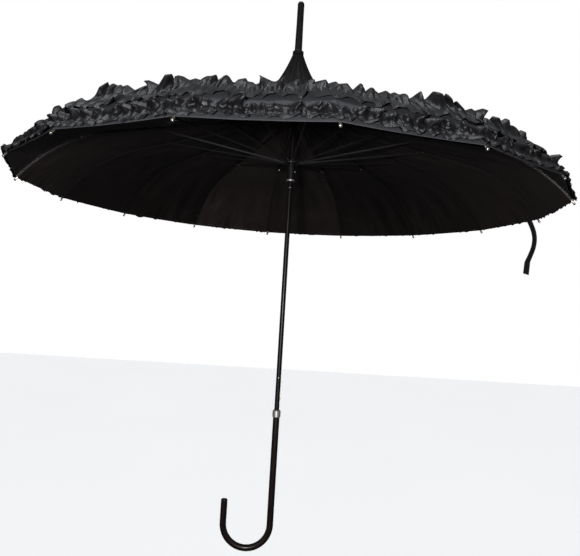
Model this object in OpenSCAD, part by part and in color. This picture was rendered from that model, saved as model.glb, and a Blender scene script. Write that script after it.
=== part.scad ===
// Folding pagoda parasol with sixteen ribs, shown open.
// Millimetres, +Z up the shaft. The origin is on the shaft axis at the middle
// of the handle's straight grip, and the hook curls towards -X.

/* [Canopy] */
// Number of ribs and of stretchers
rib_count = 16; // [16:1:16]
// Radius from the shaft to the rib tips, open
canopy_r = 440; // [438:1:442]
// Height of the rib tips above the origin
rim_z = 430; // [420:1:440]
// Bearing of the first rib from +X, in degrees
rib_phase = 6.1; // [0:0.1:22]
// Thickness of the canopy cloth
cloth_t = 0.5; // [0.4:0.1:0.8]
// Height of the cloth peak above the rib tips
peak_rise = 251; // [249:1:252]

/* [Frame] */
// Radius of the ring of pivots in the crown and in the runner
pivot_r = 10.5; // [10.5:0.1:11]
// Height of the crown's pivots above the rib tips
crown_rise = 141; // [140:0.5:142]
// Slope of the straight part of an open rib, in degrees
open_slope = 9.9; // [9.8:0.1:10]
// Pivot to pivot length of a stretcher, and of a rib up to its stretcher
stretcher_l = 219; // [217:1:220]
// Length of a rib's straight part from its pivot
rib_straight = 283.7; // [280:0.1:286]
// Bend radius of a rib's curved end
rib_bend_r = 241; // [236:1:245]
// Angle of a rib's curved end, in degrees
rib_bend_a = 42.9; // [42:0.1:43]
// Width of the rib and stretcher channels
channel_w = 2.6; // [2.4:0.1:2.8]
// Height of the rib and stretcher channels
channel_h = 2.2; // [2:0.1:2.4]
// Sheet thickness of the channels
channel_t = 0.5; // [0.4:0.05:0.6]

/* [Shaft] */
// Diameter of the shaft tube
shaft_d = 8; // [8:0.5:8]
// Wall of the shaft tube
shaft_wall = 0.8; // [0.8:0.1:1]
// Length of the tip rod above the peak collar
tip_l = 87; // [80:1:95]
// Diameter of the tip rod at its collar
tip_base_d = 12.6; // [12:0.1:13]
// Diameter of the tip rod's straight upper part
tip_d = 11.4; // [11:0.1:12]

/* [Handle] */
// Diameter of the hook handle
handle_d = 10.5; // [10:0.1:11]
// Radius of the hook's bend, to the middle of the handle
hook_r = 38; // [32:1:44]
// Length of the hook's free leg
hook_leg = 38; // [25:1:45]
// Depth of the lowest point of the hook below the rib tips
hook_drop = 572; // [565:1:580]
// Diameter of the silver ferrule
ferrule_d = 13.2; // [13:0.1:14]
// Height of the silver ferrule
ferrule_h = 12; // [10:1:14]

/* [Tie strap] */
// Length of the tie strap below its seam
strap_l = 96; // [88:1:110]
// Width of the tie strap
strap_w = 12; // [10:0.5:13]

/* [Hidden] */
$fn = 64;

rib_step = 360 / rib_count;
crown_z = rim_z + crown_rise;
runner_z = crown_z - 2 * stretcher_l * sin(open_slope);
peak_z = rim_z + peak_rise;

// Bores are larger than what turns or sits in them by these radii
fit_gap = 0.02;
slide_gap = 0.1;
pivot_gap = 0.12;

shaft_r = shaft_d / 2;
shaft_bore_r = shaft_r - shaft_wall;
shaft_top = peak_z + 34;
shaft_foot = rim_z - 385;

// Ring of slots and its wire, the same in the crown and in the runner
wire_r = 0.5;
flange_r = 13;
flange_h = 4;
slot_w = 1.6;
slot_root_r = 8.6;

// Flat eye at the inner end of a rib or stretcher
eye_r = 1.5;
eye_t = 1.2;
blade_l = 10;
blade_h = 2;
channel_start = 7.5;

// Rivet at the stretcher's fork, and the fork itself
rivet_r = 0.58;
rivet_head_r = 1.2;
rivet_head_t = 0.5;
cheek_in = 1.55;
cheek_t = 0.5;
cheek_r = 1.4;
fork_root = 9.5;
fork_root_l = 3.5;

// Small ball tip of a rib
ball_r = 2;
tip_sleeve_r = 1.45;
tip_sleeve_l = 6;

// Crown and runner bodies
crown_neck_r = 6.8;
crown_below = 13;
crown_above = 9;
crown_pin_r = 0.75;
runner_r = 6.2;
runner_above = 4.3;
runner_foot = rim_z + 34.5;
ring_r = 6.75;
ring_h = 2.5;
window_low = runner_foot + 3.5;
window_high = runner_foot + 17.5;
window_w = 3;

// Catches, which stand out of slots in the shaft towards +X. Each one holds
// the runner on its flat face and swings in about a pin past its slope.
catch_t = 2;
catch_nose = 7;
catch_shoulder = 2.9;
catch_h = 12;
catch_slot_w = 2.4;
catch_gap = 0.2;
catch_slot_gap = 1;
catch_pin_rise = 28;
catch_pin_r = 0.6;
catch_eye_r = 1.3;
press_top = 4;
press_foot = 12.5;
press_nose = 6;
runner_travel = 357.9;
top_catch_face = window_high - catch_gap;
bottom_catch_face = window_low - runner_travel + catch_gap;

handle_r = handle_d / 2;
handle_top = rim_z - 347;
handle_end_round = 2;
hook_z = rim_z - hook_drop + handle_r + hook_r;
ferrule_top = rim_z - 344;
ferrule_lip = 3 - fit_gap;

collar_r = 9.3;
collar_h = 7;
tip_dome = 5.7;
tip_straight = 32;

// Height of a rib's middle line at radius r
bend_x = pivot_r + rib_straight * cos(open_slope) - rib_bend_r * sin(open_slope);
bend_z = crown_z - rib_straight * sin(open_slope) - rib_bend_r * cos(open_slope);
bend_from_r = pivot_r + rib_straight * cos(open_slope);
function rib_height(r) = r < bend_from_r
  ? crown_z - (r - pivot_r) * tan(open_slope)
  : bend_z + sqrt(pow(rib_bend_r, 2) - pow(r - bend_x, 2));

// Rise of the tall cloth peak over the line of the ribs: a steep cone at the
// collar on a skirt that runs out along the ribs
peak_r = 7.65;
cone_rise = 54;
cone_fade = 28;
skirt_rise = peak_rise - crown_rise - cone_rise - 2.3;
skirt_l = 250;
function peak_lift(r) = cone_rise * exp(-(r - peak_r) / cone_fade)
  + skirt_rise * pow(max(1 - (r - peak_r) / skirt_l, 0), 3);
function cloth_height(r) = rib_height(r) + peak_lift(r);

// Point of the cloth's outline at radius r, lifted off the line of the ribs
function cloth_tangent(r) = let(d = 0.25)
  [2 * d, cloth_height(r + d) - cloth_height(r - d)];
function cloth_point(r, lift) = let(t = cloth_tangent(r), n = norm(t))
  [r - t[1] * lift / n, cloth_height(r) + t[0] * lift / n];

// The cloth clears the ribs by cloth_under
cloth_under = channel_h / 2 + 0.5;
cloth_radii = concat(
  [7.3, 8.6, 10.5, 13, 16, 20, 25, 31, 39, 50, 64, 82, 104, 130, 160, 195, 230, 262],
  [for (i = [0:13]) 290 + (canopy_r - 292) * (1 - pow(1 - i / 13, 1.6))]
);

// A closed section is carried round the shaft with straight runs between the
// ribs, as taut cloth lies between them
function at_bearing(p, a) = [p[0] * cos(a), p[0] * sin(a), p[1]];

module gored_ring(section) {
  count = len(section);
  points = [for (i = [0:rib_count - 1]) for (p = section) at_bearing(p, rib_phase + i * rib_step)];
  faces = [
    for (i = [0:rib_count - 1]) for (j = [0:count - 1])
      let(i2 = (i + 1) % rib_count, j2 = (j + 1) % count)
      each [
        [i * count + j, i * count + j2, i2 * count + j2],
        [i * count + j, i2 * count + j2, i2 * count + j]
      ]
  ];
  polyhedron(points = points, faces = faces, convexity = 6);
}

// Band of gathered cloth on the outside of the canopy between two radii. The
// shape gives the share of its width and of its height along the band.
ruffle_t = 0.6;
ruffle_under = cloth_under + cloth_t + 0.4;
ruffle_stand = 11;
ruffle_shape = [[0, 0], [0.05, 0.75], [0.2, 1], [0.5, 0.65], [0.8, 1], [0.95, 0.75], [1, 0.15]];
function ruffle_line(r_in, r_out, lift) = [
  for (p = ruffle_shape) cloth_point(r_in + p[0] * (r_out - r_in), lift + p[1] * ruffle_stand)
];
module ruffle_band(r_in, r_out) {
  outside = ruffle_line(r_in, r_out, ruffle_under + ruffle_t);
  inside = ruffle_line(r_in + ruffle_t, r_out - ruffle_t, ruffle_under);
  gored_ring(concat(inside, [for (k = [len(outside) - 1:-1:0]) outside[k]]));
}

module at_rib(i) rotate([0, 0, rib_phase + i * rib_step]) children();

module pin_along_y(r, length) {
  rotate([90, 0, 0]) cylinder(r = r, h = length, center = true);
}

// Straight channel along +X, open below
module channel(from, to, height) {
  length = to - from;
  translate([from, -channel_w / 2, height / 2 - channel_t]) cube([length, channel_w, channel_t]);
  for (side = [-1, 1])
    translate([from, side * (channel_w - channel_t) / 2 - channel_t / 2, -height / 2])
      cube([length, channel_t, height]);
}

// Flat blade with an eye that turns on a pivot wire
module eye_blade() {
  pin_along_y(eye_r, eye_t);
  translate([0, -eye_t / 2, -blade_h / 2]) cube([blade_l, eye_t, blade_h]);
}

// Disc with one slot per rib and a groove for the pivot wire
module slotted_flange(z, neck_r) {
  difference() {
    translate([0, 0, z - flange_h / 2]) cylinder(r = flange_r, h = flange_h);
    for (i = [0:rib_count - 1])
      at_rib(i) translate([slot_root_r, -slot_w / 2, z - flange_h]) cube([flange_r, slot_w, 2 * flange_h]);
    rotate_extrude() translate([pivot_r - wire_r - fit_gap, z - wire_r - fit_gap])
      square([flange_r, 2 * (wire_r + fit_gap)]);
    translate([0, 0, z - flange_h]) cylinder(r = neck_r - 1, h = 2 * flange_h);
  }
}

module pivot_wire(z) {
  color("silver") translate([0, 0, z])
    rotate_extrude() translate([pivot_r, 0]) circle(r = wire_r, $fn = 24);
}

module catch_slot(foot, top) {
  translate([0, -catch_slot_w / 2, foot - catch_slot_gap])
    cube([shaft_r + 1, catch_slot_w, top - foot + 2 * catch_slot_gap]);
}

module shaft_tube() {
  color([0.06, 0.05, 0.05]) difference() {
    translate([0, 0, shaft_foot]) cylinder(r = shaft_r, h = shaft_top - shaft_foot);
    translate([0, 0, shaft_foot - 1]) cylinder(r = shaft_bore_r, h = shaft_top - shaft_foot + 2);
    catch_slot(top_catch_face - catch_h, top_catch_face);
    catch_slot(bottom_catch_face - press_foot, bottom_catch_face + catch_h);
    for (z = [top_catch_face - catch_pin_rise, bottom_catch_face + catch_pin_rise])
      translate([0, 0, z]) pin_along_y(catch_pin_r + fit_gap, shaft_d + 2);
    translate([0, 0, crown_z - crown_below / 2 - 1]) pin_along_y(crown_pin_r + fit_gap, shaft_d + 2);
  }
}

module tip_rod() {
  taper_l = tip_l - tip_straight - tip_dome;
  color([0.1, 0.07, 0.06]) difference() {
    translate([0, 0, peak_z + collar_h]) {
      cylinder(r1 = tip_base_d / 2, r2 = tip_d / 2, h = taper_l);
      translate([0, 0, taper_l]) cylinder(r = tip_d / 2, h = tip_straight);
      translate([0, 0, taper_l + tip_straight]) intersection() {
        sphere(r = tip_d / 2);
        cylinder(r = tip_d, h = tip_d);
      }
    }
    translate([0, 0, peak_z]) cylinder(r = shaft_r + fit_gap, h = shaft_top - peak_z + 1);
  }
}

module peak_collar() {
  color([0.08, 0.06, 0.06]) difference() {
    translate([0, 0, peak_z]) rotate_extrude() polygon([
      [0, 0], [collar_r - 1, 0], [collar_r, 1], [collar_r, collar_h - 1.5],
      [collar_r - 1.5, collar_h], [0, collar_h]
    ]);
    translate([0, 0, peak_z - 1]) cylinder(r = shaft_r + fit_gap, h = collar_h + 2);
  }
}

module crown() {
  color([0.07, 0.07, 0.07]) difference() {
    union() {
      slotted_flange(crown_z, crown_neck_r);
      translate([0, 0, crown_z - crown_below]) cylinder(r = crown_neck_r, h = crown_below + crown_above);
    }
    translate([0, 0, crown_z - 2 * crown_below])
      cylinder(r = shaft_r + fit_gap, h = 2 * (crown_below + crown_above));
    translate([0, 0, crown_z - crown_below / 2 - 1]) pin_along_y(crown_pin_r + fit_gap, 3 * crown_neck_r);
  }
}

module crown_wire() pivot_wire(crown_z);

module crown_pin() {
  color("gray") translate([0, 0, crown_z - crown_below / 2 - 1]) pin_along_y(crown_pin_r, 2 * crown_neck_r);
}

// Catch with its flat face at height 0, its slope above that, and a leaf that
// runs up to its pin
module catch_shape(press) {
  difference() {
    translate([0, catch_t / 2, 0]) rotate([90, 0, 0]) linear_extrude(height = catch_t) {
      polygon([
        [0.4, 0], [catch_nose, 0], [catch_nose - 0.4, 1.5], [catch_shoulder, catch_h],
        [catch_shoulder, catch_h + 3], [catch_eye_r, catch_pin_rise], [-catch_eye_r, catch_pin_rise]
      ]);
      if (press) polygon([
        [0.4, 1], [2, -press_foot - 2], [catch_shoulder, -press_foot - 2], [catch_shoulder, -press_foot],
        [press_nose, -press_top - 1.5], [catch_shoulder, -press_top], [catch_shoulder, 1]
      ]);
      translate([0, catch_pin_rise]) circle(r = catch_eye_r);
    }
    translate([0, 0, catch_pin_rise]) pin_along_y(catch_pin_r + slide_gap, 2 * catch_t);
  }
}

module top_catch() {
  color("dimgray") translate([0, 0, top_catch_face]) mirror([0, 0, 1]) catch_shape(false);
}

module bottom_catch() {
  color("dimgray") translate([0, 0, bottom_catch_face]) catch_shape(true);
}

module catch_pins() {
  color("gray") for (z = [top_catch_face - catch_pin_rise, bottom_catch_face + catch_pin_rise])
    translate([0, 0, z]) pin_along_y(catch_pin_r, shaft_d - 0.4);
}

// Straight grip, half circle and free leg with a rounded end
module handle_hook() {
  color([0.08, 0.06, 0.06]) difference() {
    union() {
      translate([0, 0, hook_z]) cylinder(r = handle_r, h = handle_top - hook_z);
      translate([-hook_r, 0, hook_z]) rotate([90, 0, 0]) rotate([0, 0, 180])
        rotate_extrude(angle = 180) translate([hook_r, 0]) circle(r = handle_r);
      translate([-2 * hook_r, 0, hook_z]) {
        cylinder(r = handle_r, h = hook_leg - handle_end_round);
        translate([0, 0, hook_leg - handle_end_round]) {
          cylinder(r = handle_r - handle_end_round, h = handle_end_round);
          rotate_extrude() translate([handle_r - handle_end_round, 0]) intersection() {
            circle(r = handle_end_round);
            square(handle_end_round);
          }
        }
      }
    }
    translate([0, 0, shaft_foot - 1]) cylinder(r = shaft_r + fit_gap, h = handle_top - shaft_foot + 2);
  }
}

module handle_ferrule() {
  color("silver") difference() {
    translate([0, 0, ferrule_top - ferrule_h]) rotate_extrude() polygon([
      [0, 0], [ferrule_d / 2 - 1, 0], [ferrule_d / 2, 1], [ferrule_d / 2, ferrule_h - 1.5],
      [ferrule_d / 2 - 1.5, ferrule_h], [0, ferrule_h]
    ]);
    translate([0, 0, ferrule_top - ferrule_h - 1])
      cylinder(r = handle_r + fit_gap, h = ferrule_h - ferrule_lip + 1);
    translate([0, 0, ferrule_top - ferrule_h]) cylinder(r = shaft_r + fit_gap, h = ferrule_h + 1);
  }
}

// Sliding tube with its slotted flange and one window for both catches
module runner() {
  color([0.07, 0.07, 0.08]) difference() {
    union() {
      slotted_flange(runner_z, runner_r);
      translate([0, 0, runner_foot]) cylinder(r = runner_r, h = runner_z + runner_above - runner_foot);
    }
    translate([0, 0, runner_foot - 1])
      cylinder(r = shaft_r + slide_gap, h = runner_z + runner_above - runner_foot + 2);
    translate([0, -window_w / 2, window_low]) cube([2 * runner_r, window_w, window_high - window_low]);
  }
}

module runner_wire() pivot_wire(runner_z);

module runner_ring() {
  color("silver") translate([0, 0, runner_foot]) difference() {
    cylinder(r = ring_r, h = ring_h);
    translate([0, 0, -1]) cylinder(r = runner_r + fit_gap, h = ring_h + 2);
  }
}

// Rib along +X from its pivot: eye, channel, rivet, curved channel and tip
module bent_bar(from, width, low, high) {
  sleeve_a = (tip_sleeve_l - ball_r) * 180 / (PI * rib_bend_r);
  translate([from, -width / 2, low]) cube([rib_straight - from, width, high - low]);
  translate([rib_straight, 0, -rib_bend_r]) mirror([1, 0, 0]) rotate([90, 0, 0]) rotate([0, 0, 90])
    rotate_extrude(angle = rib_bend_a - sleeve_a, $fn = 180)
    translate([rib_bend_r + low, -width / 2]) square([high - low, width]);
}

module rib_shape() {
  half_h = channel_h / 2;
  difference() {
    union() {
      difference() {
        bent_bar(channel_start, channel_w, -half_h, half_h);
        bent_bar(channel_start - 1, channel_w - 2 * channel_t, -half_h - 1, half_h - channel_t);
      }
      eye_blade();
      translate([rib_straight, 0, -rib_bend_r]) rotate([0, rib_bend_a, 0]) translate([0, 0, rib_bend_r])
        rotate([0, -90, 0]) {
          cylinder(r = tip_sleeve_r, h = tip_sleeve_l, $fn = 24);
          sphere(r = ball_r, $fn = 32);
        }
    }
    pin_along_y(wire_r + pivot_gap, 4);
    translate([stretcher_l, 0, 0]) pin_along_y(rivet_r + fit_gap, 4);
  }
  translate([stretcher_l, 0, 0]) {
    pin_along_y(rivet_r, 2 * (cheek_in + cheek_t + 0.1));
    for (side = [-1, 1])
      translate([0, side * (cheek_in + cheek_t + 0.05 + rivet_head_t / 2), 0])
        pin_along_y(rivet_head_r, rivet_head_t);
  }
}

module rib(i) {
  color([0.09, 0.09, 0.1]) at_rib(i) translate([pivot_r, 0, crown_z])
    rotate([0, open_slope, 0]) rib_shape();
}

// Stretcher along +X from the runner: eye, channel and a fork for the rib
module stretcher_shape() {
  fork_x = stretcher_l - fork_root;
  difference() {
    union() {
      eye_blade();
      channel(channel_start, fork_x, blade_h);
      translate([fork_x - fork_root_l, -cheek_in - cheek_t, -blade_h / 2])
        cube([fork_root_l, 2 * (cheek_in + cheek_t), blade_h]);
      for (side = [-1, 1])
        translate([0, side * (cheek_in + cheek_t / 2), 0]) {
          translate([fork_x - 1, -cheek_t / 2, -blade_h / 2]) cube([fork_root + 1, cheek_t, blade_h]);
          translate([stretcher_l, 0, 0]) pin_along_y(cheek_r, cheek_t);
        }
    }
    pin_along_y(wire_r + pivot_gap, 4);
    translate([stretcher_l, 0, 0]) pin_along_y(rivet_r + slide_gap, 6);
  }
}

module stretcher(i) {
  color([0.09, 0.09, 0.1]) at_rib(i) translate([pivot_r, 0, runner_z])
    rotate([0, -open_slope, 0]) stretcher_shape();
}

module canopy() {
  inner = [for (r = cloth_radii) cloth_point(r, cloth_under)];
  outer = [for (k = [len(cloth_radii) - 1:-1:0]) cloth_point(cloth_radii[k], cloth_under + cloth_t)];
  color([0.13, 0.13, 0.15]) gored_ring(concat(inner, outer));
}

upper_ruffle_in = 368;
upper_ruffle_out = 402;
lower_ruffle_in = 418;
lower_ruffle_out = 436;
module upper_ruffle() color([0.2, 0.2, 0.23]) ruffle_band(upper_ruffle_in, upper_ruffle_out);

module lower_ruffle() color([0.2, 0.2, 0.23]) ruffle_band(lower_ruffle_in, lower_ruffle_out);

// Flat strap that hangs from the hem beside the first rib
strap_bearing = 10;
strap_r = 438;
strap_seam_z = rim_z + 4;
strap_t = 1;
strap_bow = 2.5;
strap_cuts = 12;
function strap_x(k) = strap_r + strap_bow * (1 - cos(180 * k / strap_cuts)) / 2;
function strap_z(k) = strap_seam_z + 2 - strap_l * k / strap_cuts;
module tie_strap() {
  inner = [for (k = [0:strap_cuts]) [strap_x(k) - strap_t / 2, strap_z(k)]];
  outer = [for (k = [strap_cuts:-1:0]) [strap_x(k) + strap_t / 2, strap_z(k)]];
  color([0.1, 0.09, 0.1]) rotate([0, 0, strap_bearing]) translate([0, strap_w / 2, 0])
    rotate([90, 0, 0]) linear_extrude(height = strap_w) polygon(concat(inner, outer));
}

shaft_tube();
tip_rod();
peak_collar();
crown();
crown_wire();
crown_pin();
top_catch();
bottom_catch();
catch_pins();
handle_hook();
handle_ferrule();
runner();
runner_wire();
runner_ring();
canopy();
upper_ruffle();
lower_ruffle();
tie_strap();
rib(0);  // rib_00
rib(1);  // rib_01
rib(2);  // rib_02
rib(3);  // rib_03
rib(4);  // rib_04
rib(5);  // rib_05
rib(6);  // rib_06
rib(7);  // rib_07
rib(8);  // rib_08
rib(9);  // rib_09
rib(10);  // rib_10
rib(11);  // rib_11
rib(12);  // rib_12
rib(13);  // rib_13
rib(14);  // rib_14
rib(15);  // rib_15
stretcher(0);  // stretcher_00
stretcher(1);  // stretcher_01
stretcher(2);  // stretcher_02
stretcher(3);  // stretcher_03
stretcher(4);  // stretcher_04
stretcher(5);  // stretcher_05
stretcher(6);  // stretcher_06
stretcher(7);  // stretcher_07
stretcher(8);  // stretcher_08
stretcher(9);  // stretcher_09
stretcher(10);  // stretcher_10
stretcher(11);  // stretcher_11
stretcher(12);  // stretcher_12
stretcher(13);  // stretcher_13
stretcher(14);  // stretcher_14
stretcher(15);  // stretcher_15
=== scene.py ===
from collections import namedtuple
import math

import bpy
import numpy as np
from mathutils import Matrix, Vector


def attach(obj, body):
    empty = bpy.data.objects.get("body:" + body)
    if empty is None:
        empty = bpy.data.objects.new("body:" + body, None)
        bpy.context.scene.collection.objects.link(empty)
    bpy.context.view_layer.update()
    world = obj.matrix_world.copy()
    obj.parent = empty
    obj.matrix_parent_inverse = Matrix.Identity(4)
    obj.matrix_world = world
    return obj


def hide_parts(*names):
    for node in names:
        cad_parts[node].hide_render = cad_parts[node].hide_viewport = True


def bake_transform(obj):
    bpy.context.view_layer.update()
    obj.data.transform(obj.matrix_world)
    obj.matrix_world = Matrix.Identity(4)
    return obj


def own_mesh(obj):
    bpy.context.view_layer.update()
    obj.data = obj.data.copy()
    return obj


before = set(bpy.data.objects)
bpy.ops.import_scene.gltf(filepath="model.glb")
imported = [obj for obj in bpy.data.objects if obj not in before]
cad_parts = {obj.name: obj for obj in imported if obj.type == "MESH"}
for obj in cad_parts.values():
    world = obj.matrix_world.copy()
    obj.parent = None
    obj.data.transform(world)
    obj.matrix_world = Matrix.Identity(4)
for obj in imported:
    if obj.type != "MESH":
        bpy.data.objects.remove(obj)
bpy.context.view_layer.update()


# ----------------------------------------------------------------- dimensions
# Metres and radians. The ribs, the crown and the outline of the canopy repeat the values of part.scad.

RIBS = 16
STEP = 2 * math.pi / RIBS
HALF_STEP = STEP / 2
# Bearing of rib_00
PHASE = math.radians(6.1)

# Ribs when open: pivot at the crown, slope, straight part, radius of the bent part, start of the ball tip
PIVOT_R = 0.0105
CROWN_Z = 0.571
OPEN_SLOPE = math.radians(9.9)
RIB_STRAIGHT = 0.2837
RIB_BEND_R = 0.241
RIB_TIP_R = 0.4367

# Rise of the tall peak over the ribs: a steep cone at the collar on a wide skirt
PEAK_R = 0.00765
CONE_RISE = 0.054
CONE_FADE = 0.028
SKIRT_RISE = 0.0537
SKIRT_L = 0.25

# Middle of the cloth over the middle line of the ribs, and its reach from the collar to the hem
CLOTH_LIFT = 0.00185
COLLAR_R = 0.0074
HEM_R = 0.438
RIM_Z = 0.43

# The canopy is cut where the tall peak meets the part that follows the ribs, and under the upper ruffle.
PEAK_OUT_R = 0.13
HEM_PIECE_R = 0.386
# Half the thickness of the cloth, and half the width of a seam
CLOTH_HALF = 0.00025
SEAM_W = 0.0024
# Turned hem: width, thickness it adds to each face, distance over which it does so, and round edge
HEM_W = 0.006
HEM_TURN = 0.0002
HEM_STEP = 0.0012
HEM_ROUND = 0.00035

# Share of its width that each part of a gore keeps when the parasol is closed.
UPPER_RUFFLE_KEEP = 0.19
LOWER_RUFFLE_KEEP = 0.1

# How far the middle of a gore hangs under the line of the ribs, and how far it waves, at lengths from the
# collar
SAG_AT = [0, 0.1, 0.2, 0.34, 0.47, 0.52]
SAG = [0.0, 0.0006, 0.0016, 0.0042, 0.0024, 0.0016]
SLACK_AT = [0, 0.08, 0.2, 0.52]
SLACK = [0.0001, 0.0004, 0.0007, 0.0007]

# Puckers beside a seam: height, distances over which they start and fade, rate along the seam against that of
# the wave they use, and the radius from which they have their full height
PUCKER = 0.0011
PUCKER_START = 0.002
PUCKER_FADE = 0.009
PUCKER_RATE = 9
PUCKER_FULL_R = 0.2


# ---------------------------------------------------------------- cloth shape

BEND_FROM_R = PIVOT_R + RIB_STRAIGHT * math.cos(OPEN_SLOPE)
BEND_X = BEND_FROM_R - RIB_BEND_R * math.sin(OPEN_SLOPE)
BEND_Z = CROWN_Z - RIB_STRAIGHT * math.sin(OPEN_SLOPE) - RIB_BEND_R * math.cos(OPEN_SLOPE)


def rib_bearing(rib):
    return PHASE + rib * STEP


def rib_height(r):
    """Height of a rib's middle line at radius r."""
    straight = CROWN_Z - (r - PIVOT_R) * math.tan(OPEN_SLOPE)
    bent = BEND_Z + np.sqrt(np.maximum(RIB_BEND_R**2 - (r - BEND_X) ** 2, 0))
    return np.where(r < BEND_FROM_R, straight, bent)


def cloth_height(r):
    """Height of the cloth's line over radius r, with its tall peak."""
    cone = CONE_RISE * np.exp(-(r - PEAK_R) / CONE_FADE)
    skirt = SKIRT_RISE * np.maximum(1 - (r - PEAK_R) / SKIRT_L, 0) ** 3
    return rib_height(r) + cone + skirt


def outline_table():
    """Length from the collar, radius on the rib's line, and place and normal of the middle of the cloth."""
    r = np.linspace(COLLAR_R, HEM_R, 3000)
    z = cloth_height(r)
    dr, dz = np.gradient(r), np.gradient(z)
    n = np.hypot(dr, dz)
    nr, nz = -dz / n, dr / n
    out_r, out_z = r + nr * CLOTH_LIFT, z + nz * CLOTH_LIFT
    along = np.concatenate([[0], np.cumsum(np.hypot(np.diff(out_r), np.diff(out_z)))])
    return along, r, out_r, out_z, nr, nz


ALONG, RIB_R, OUT_R, OUT_Z, OUT_NR, OUT_NZ = outline_table()
HEM_ALONG = float(ALONG[-1])


def along_at(r):
    """Length along the cloth from the collar to the rib's radius r."""
    return float(np.interp(r, RIB_R, ALONG))


def radius_at(along):
    """Radius of the cloth at a length from the collar."""
    return np.interp(along, ALONG, OUT_R)


def waves(seed, count, low, high):
    """A smooth random function of bearing and length that closes on itself round the shaft."""
    rng = np.random.default_rng(seed)
    turns = rng.integers(low, high, count)
    rate = rng.uniform(15, 70, count)
    phase = rng.uniform(0, 2 * math.pi, count)
    side = rng.choice([-1, 1], count)

    def value(bearing, along):
        total = 0
        for k in range(count):
            total = total + np.sin(turns[k] * bearing + side[k] * rate[k] * along + phase[k])
        return total / count

    return value


slack_waves = waves(11, 7, 17, 60)
pucker_waves = waves(12, 5, 3, 9)


def hanging_height(bearing, along, lift, r):
    """Adds to lift what the cloth does between the ribs: it sags, waves, and puckers beside the seams.
    The second result is the share of the way from a rib to the middle of its gore."""
    share = np.abs((bearing - PHASE + HALF_STEP) % STEP - HALF_STEP) / HALF_STEP
    hollow = share * (2 - share)
    sag = np.interp(along, SAG_AT, SAG)
    slack = np.interp(along, SLACK_AT, SLACK)
    from_seam = share * r * HALF_STEP
    near_seam = np.exp(-from_seam / PUCKER_FADE) * (1 - np.exp(-from_seam / PUCKER_START))
    height = lift - hollow * sag + hollow * slack * slack_waves(bearing, along)
    puckers = PUCKER * near_seam * pucker_waves(bearing, along * PUCKER_RATE)
    return height + puckers * np.minimum(r / PUCKER_FULL_R, 1), share


def cloth_surface(bearing, along, lift):
    """Points at a height over the middle of the canopy cloth, for arrays of bearing, length and lift."""
    bearing, along, lift = np.broadcast_arrays(bearing, along, lift)
    beyond = np.maximum(along - HEM_ALONG, 0)
    r = radius_at(along)
    z = np.interp(along, ALONG, OUT_Z)
    nr = np.interp(along, ALONG, OUT_NR)
    nz = np.interp(along, ALONG, OUT_NZ)
    height, share = hanging_height(bearing, along, lift, r)
    r = r + nr * height + nz * beyond
    z = z + nz * height - nr * beyond
    # The cloth runs straight from rib to rib, so it is nearer to the shaft between them.
    chord = math.cos(HALF_STEP) / np.cos(HALF_STEP * (1 - share))
    return np.stack([r * chord * np.cos(bearing), r * chord * np.sin(bearing), z], -1)


# -------------------------------------------------------------- mesh building

SHARP_ANGLE = math.radians(70)


def uv_layer(mesh, name, values):
    layer = mesh.uv_layers.new(name=name)
    corners = np.zeros(len(mesh.loops), np.int32)
    mesh.loops.foreach_get("vertex_index", corners)
    layer.data.foreach_set("uv", values.reshape(-1, 2)[corners].astype(np.float32).ravel())


def shell_rims(index):
    """Narrow faces that close a folded sheet along its two sides and at its first row."""
    half = (len(index) - 1) // 2
    upper, lower = index[: half + 1], index[::-1][: half + 1]
    left = np.stack([upper[:-1, 0], lower[:-1, 0], lower[1:, 0], upper[1:, 0]], -1)
    right = np.stack([upper[:-1, -1], upper[1:, -1], lower[1:, -1], lower[:-1, -1]], -1)
    first = np.stack([upper[0, :-1], upper[0, 1:], lower[0, 1:], lower[0, :-1]], -1)
    rims = np.concatenate([left, right, first])
    return rims[(rims[:, 1] != rims[:, 2]) & (rims[:, 2] != rims[:, 3])]


def quad_mesh(name, points, quads, slots):
    """A mesh of four-sided faces. slots has the place of each face's material in the list."""
    count = len(quads)
    mesh = bpy.data.meshes.new(name)
    mesh.vertices.add(points.size // 3)
    mesh.vertices.foreach_set("co", points.astype(np.float32).ravel())
    mesh.loops.add(4 * count)
    mesh.loops.foreach_set("vertex_index", quads.astype(np.int32).ravel())
    mesh.polygons.add(count)
    mesh.polygons.foreach_set("loop_start", np.arange(0, 4 * count, 4, dtype=np.int32))
    mesh.polygons.foreach_set("loop_total", np.full(count, 4, np.int32))
    mesh.polygons.foreach_set("material_index", slots)
    mesh.update(calc_edges=True)
    mesh.validate()
    return mesh


def grid_object(name, points, cloth, place, materials, row_slot=None, closed=False, shell=False):
    """A smooth sheet from a grid of points. cloth and place are its two texture maps, in metres:
    cloth is measured from a seam, and place round the whole canopy."""
    rows, cols = points.shape[:2]
    index = np.arange(rows * cols).reshape(rows, cols)
    if closed:
        index = np.concatenate([index, index[:, :1]], 1)
    quads = np.stack([index[:-1, :-1], index[1:, :-1], index[1:, 1:], index[:-1, 1:]], -1)
    slots = np.zeros(quads.shape[:2], np.int32)
    if row_slot is not None:
        slots[:] = np.asarray(row_slot, np.int32)[:, None]
    quads, slots = quads.reshape(-1, 4), slots.ravel()
    if shell:
        rims = shell_rims(index)
        quads = np.concatenate([quads, rims])
        slots = np.concatenate([slots, np.ones(len(rims), np.int32)])
    mesh = quad_mesh(name, points, quads, slots)
    uv_layer(mesh, "Cloth", cloth)
    uv_layer(mesh, "Place", place)
    for material in materials:
        mesh.materials.append(material)
    mesh.polygons.foreach_set("use_smooth", np.ones(len(mesh.polygons), bool))
    if shell:
        mesh.set_sharp_from_angle(angle=SHARP_ANGLE)
    obj = bpy.data.objects.new(name, mesh)
    bpy.context.scene.collection.objects.link(obj)
    return obj


# ------------------------------------------------------------------ materials

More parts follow.
